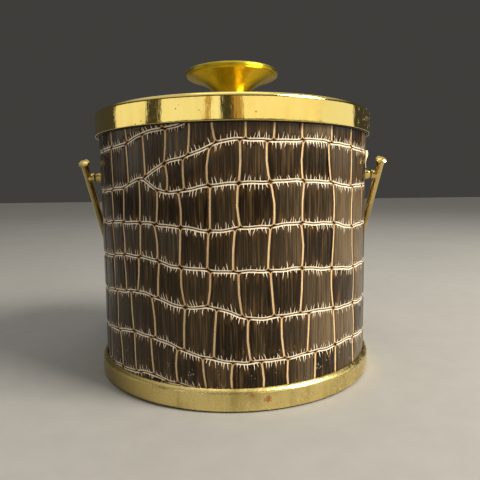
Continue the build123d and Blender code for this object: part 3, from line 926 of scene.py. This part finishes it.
def brass(name, bright, dull, roughness, spots, pits=0.0, turned_share=0.0, stains=(),
          shade_left=False, worn_from=None):
    """Brass with tarnish clouds, fine lines round the axis, smears, dark spots and flecks, and
    painted shade on its left where shade_left is set.

    turned_share is the share of anisotropy from grooves that run round the axis. Each stain is
    a place and a size in metres. worn_from is a place along X, in metres.
    """
    s = Shader(name)
    where = s.where()
    x, y, z = s.split(where)
    radius = s.math("SQRT", s.math("ADD", s.math("MULTIPLY", x, x), s.math("MULTIPLY", y, y)))
    fine = s.noise(where, 420, 4, 0.65)
    smears = s.noise(s.stretch(where, (160, 160, 14)), 1.0, 4, 0.6)
    tarnish_and_shade = tarnish_and_shade_share(s, where, x, smears, shade_left)
    dots = spot_share(s, where, spots)
    flecks = fleck_share(s, where, x, y, radius, pits, worn_from)
    colour = s.mix(dots, s.mix(tarnish_and_shade, bright, dull), SPOT)
    colour = s.mix(flecks, colour, FLECK)
    rough = s.math("MULTIPLY_ADD", tarnish_and_shade, 0.12, roughness)
    rough = s.math("MULTIPLY_ADD", s.step(0.45, 0.8, fine), 0.10, rough)
    rough = s.math("MULTIPLY_ADD", dots, 0.4, rough)
    rough = s.math("MULTIPLY_ADD", flecks, 0.45, rough)
    metallic = s.math("MULTIPLY_ADD", flecks, -0.6, 1.0)
    for place, size in stains:
        stain = stain_share(s, where, place, size)
        colour = s.mix(stain, colour, STAIN)
        rough = s.math("MULTIPLY_ADD", stain, 0.4, rough)
        metallic = s.math("SUBTRACT", metallic, s.math("MULTIPLY", stain, 0.8))
    lines = s.stretch(s.vector(radius, s.math("MULTIPLY", x, 0.004), z), (1400,) * 3)
    normal = s.bump(s.noise(lines, 1.0, 3, 0.7), 0.00003, 0.4)
    normal = s.bump(smears, 0.0003, 0.3, normal)
    normal = s.bump(s.noise(where, 75, 2), 0.0012, 0.7 * pits, normal)
    normal = s.bump(fine, 0.00003 + 0.0002 * pits, 0.5, normal)
    s.set(Base_Color=colour, Metallic=metallic, Roughness=rough, Normal=normal,
          Anisotropic=turned_share)
    if turned_share:
        tangent = s.node("ShaderNodeTangent", direction_type="RADIAL", axis="Z")
        s.set(Tangent=tangent.outputs[0], Anisotropic_Rotation=0.25)
    return s.material


def speckled(name, dark, light, scale, roughness, bump, metallic=0.0, specular=0.5):
    """A plain material whose colour and surface vary at one scale: felt, foam, board, plastic."""
    s = Shader(name)
    where = s.where()
    grain = s.noise(where, scale, 5, 0.65)
    clouds = s.noise(where, scale / 9, 3)
    colour = s.mix(s.step(0.3, 0.7, s.blend(0.4, grain, clouds)), dark, light)
    rough = s.math("MULTIPLY_ADD", grain, 0.2, roughness - 0.1)
    s.set(Base_Color=colour, Roughness=rough, Metallic=metallic, Normal=s.bump(grain, bump, 0.6),
          Specular_IOR_Level=specular)
    return s.material


def on_band(angle, height):
    """A place on the base band's wall, in metres, from degrees round it and mm up."""
    turn, r = math.radians(angle), BASE_BAND_R * MM
    return (r * math.sin(turn), -r * math.cos(turn), height * MM)


def make_materials():
    """One material for each slot of the record, and one for the pale back of the vinyl."""
    worn_from = LID_R * MM * math.sin(math.radians(50))
    stains = [(on_band(10.6, 7.7), 0.0042), (on_band(5.4, 10.2), 0.0022)]
    return {
        "embossed_vinyl": vinyl(),
        "polished_brass": brass("polished_brass", (0.97, 0.77, 0.24), (0.90, 0.64, 0.15), 0.04,
                                0.6, pits=0.15, worn_from=worn_from),
        # The satin band is painted duller on its left, as shade.
        "satin_brass": brass("satin_brass", (0.88, 0.71, 0.28), (0.46, 0.35, 0.11), 0.20, 0.9,
                             pits=0.6, stains=stains, shade_left=True),
        "knob_brass": brass("knob_brass", (0.58, 0.44, 0.030), (0.42, 0.31, 0.020), 0.34, 0.5,
                            turned_share=0.8),
        "hardware_brass": brass("hardware_brass", (0.72, 0.55, 0.20), (0.30, 0.20, 0.06), 0.12,
                                0.7),
        "vinyl_backing": speckled("vinyl_backing", (0.66, 0.54, 0.34), (0.86, 0.76, 0.52), 700,
                                  0.6, 0.0003),
        "plated_steel": speckled("plated_steel", (0.42, 0.42, 0.41), (0.62, 0.62, 0.60), 90, 0.36,
                                 0.0001, 1.0),
        "felt": speckled("felt", (0.012, 0.012, 0.012), (0.04, 0.04, 0.038), 900, 0.95, 0.0008),
        "hardboard": speckled("hardboard", (0.12, 0.07, 0.035), (0.24, 0.15, 0.08), 500, 0.75,
                              0.0003),
        "foam": speckled("foam", (0.72, 0.71, 0.68), (0.86, 0.85, 0.82), 260, 0.85, 0.0006),
        "liner_plastic": speckled("liner_plastic", (0.010, 0.007, 0.005), (0.020, 0.015, 0.011),
                                  340, 0.34, 0.0001, specular=0.2),
        "seal_rubber": speckled("seal_rubber", (0.010, 0.010, 0.010), (0.022, 0.022, 0.022), 420,
                                0.6, 0.0001),
    }


# ---------------------------------------------------------------- studio
CAMERA_PLACE = Vector((0.0, -0.3532, 0.126))
CAMERA_YAW = -0.70        # degrees: turned slightly towards +X
CAMERA_PITCH = -5.98      # looking slightly down
CAMERA_ROLL = -0.75
LENS = 35.3               # mm, on a sensor 36 mm wide
LIGHT_AIM = 0.1           # height that every light faces
SURROUND_COLOUR = (1.0, 0.96, 0.88, 1)
SURROUND_RISE = (0.5, 0.75)        # sines of the elevations between which it brightens
SURROUND_STRENGTH = (0.05, 0.62)   # below and above them
FLOOR_HALF = 6.0
WARM, NEUTRAL, COOL = (1.0, 0.93, 0.80), (1.0, 0.98, 0.94), (0.93, 0.97, 1.0)
AMBER = (1.0, 0.62, 0.22)


def make_camera():
    """A camera in front of the bucket, a little below its lid."""
    data = bpy.data.cameras.new("camera")
    data.lens = LENS
    data.sensor_width = 36.0
    data.clip_start = 0.01
    camera = bpy.data.objects.new("camera", data)
    bpy.context.scene.collection.objects.link(camera)
    turn = (Matrix.Rotation(math.radians(CAMERA_YAW), 4, "Z")
            @ Matrix.Rotation(math.radians(90 + CAMERA_PITCH), 4, "X")
            @ Matrix.Rotation(math.radians(CAMERA_ROLL), 4, "Z"))
    camera.matrix_world = Matrix.Translation(CAMERA_PLACE) @ turn
    bpy.context.scene.camera = camera


def softbox(name, angle, distance, height, size, radiance, colour):
    """A rectangular light at an angle round from the front, facing the bucket."""
    data = bpy.data.lights.new(name, "AREA")
    data.shape = "RECTANGLE"
    data.size, data.size_y = size
    data.energy = radiance * math.pi * size[0] * size[1]
    data.color = colour
    light = bpy.data.objects.new(name, data)
    bpy.context.scene.collection.objects.link(light)
    turn = math.radians(angle)
    light.location = (distance * math.sin(turn), -distance * math.cos(turn), height)
    towards = Vector((0, 0, LIGHT_AIM)) - light.location
    light.rotation_euler = towards.to_track_quat("-Z", "Y").to_euler()


def card(name, start, end, radiance, colour):
    """A low softbox that fills the angles from start to end, to show in the brass skirt."""
    distance, height, depth = 1.2, 0.35, 0.36
    width = 2 * distance * math.tan(math.radians(end - start) / 2)
    softbox(name, (start + end) / 2, distance, height, (width, depth), radiance, colour)


def make_surround():
    """A world that is dim near the horizon and brighter overhead."""
    world = bpy.data.worlds.new("studio")
    bpy.context.scene.world = world
    world.use_nodes = True
    tree = world.node_tree
    place = tree.nodes.new("ShaderNodeTexCoord").outputs["Generated"]
    split = tree.nodes.new("ShaderNodeSeparateXYZ")
    tree.links.new(place, split.inputs[0])
    rise = tree.nodes.new("ShaderNodeMapRange")
    tree.links.new(split.outputs["Z"], rise.inputs["Value"])
    ends = ("From Min", "From Max", "To Min", "To Max")
    for end, value in zip(ends, SURROUND_RISE + SURROUND_STRENGTH):
        rise.inputs[end].default_value = value
    background = tree.nodes["Background"]
    background.inputs["Color"].default_value = SURROUND_COLOUR
    tree.links.new(rise.outputs[0], background.inputs["Strength"])


def make_floor():
    """Plain pale paper under the bucket."""
    h = FLOOR_HALF
    mesh = bpy.data.meshes.new("floor")
    mesh.from_pydata([(-h, -h, 0), (h, -h, 0), (h, h, 0), (-h, h, 0)], [], [(0, 1, 2, 3)])
    floor = bpy.data.objects.new("floor", mesh)
    bpy.context.scene.collection.objects.link(floor)
    floor.data.materials.append(speckled("floor_paper", (0.29, 0.285, 0.275), (0.32, 0.315, 0.305),
                                         60, 0.8, 0.0002))


def make_lights():
    """Three soft boxes, and low cards round the front for the lid's skirt to mirror."""
    softbox("key", 64, 1.2, 1.1, (0.7, 0.7), 27.0, WARM)
    softbox("overhead", 0, 0.1, 1.45, (0.9, 0.6), 1.1, NEUTRAL)
    softbox("behind", 180, 1.6, 1.1, (1.2, 0.6), 0.8, COOL)
    card("right_side", 68, 108, 0.87, NEUTRAL)
    card("right_front", 8, 68, 0.98, WARM)
    card("right_edge", 1, 8, 0.42, AMBER)
    card("left_middle", -15.5, -8.2, 0.95, NEUTRAL)
    card("left_edge", -20, -15.5, 0.45, AMBER)
    card("left_front", -53.6, -20, 0.90, NEUTRAL)
    card("left_side", -101, -66.4, 0.88, NEUTRAL)


# ---------------------------------------------------------------- everything together
make_camera()
make_surround()
make_floor()
make_lights()
bpy.context.scene.view_settings.view_transform = "Standard"
materials = make_materials()
tab = make_wrap_tab()
pieces = [make_wrap(), make_lid_shell(), make_base_band(), make_knob()]
slot_of = {s["node"]: s["material_slot"] for s in frame["record"]["subparts"]}
for name, node in NODES.items():
    node.data.materials.clear()
    node.data.materials.append(materials[slot_of[name]])
for piece in pieces:
    piece.data.materials.append(materials[piece["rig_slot"]])
tab.data.materials.append(materials["vinyl_backing"])
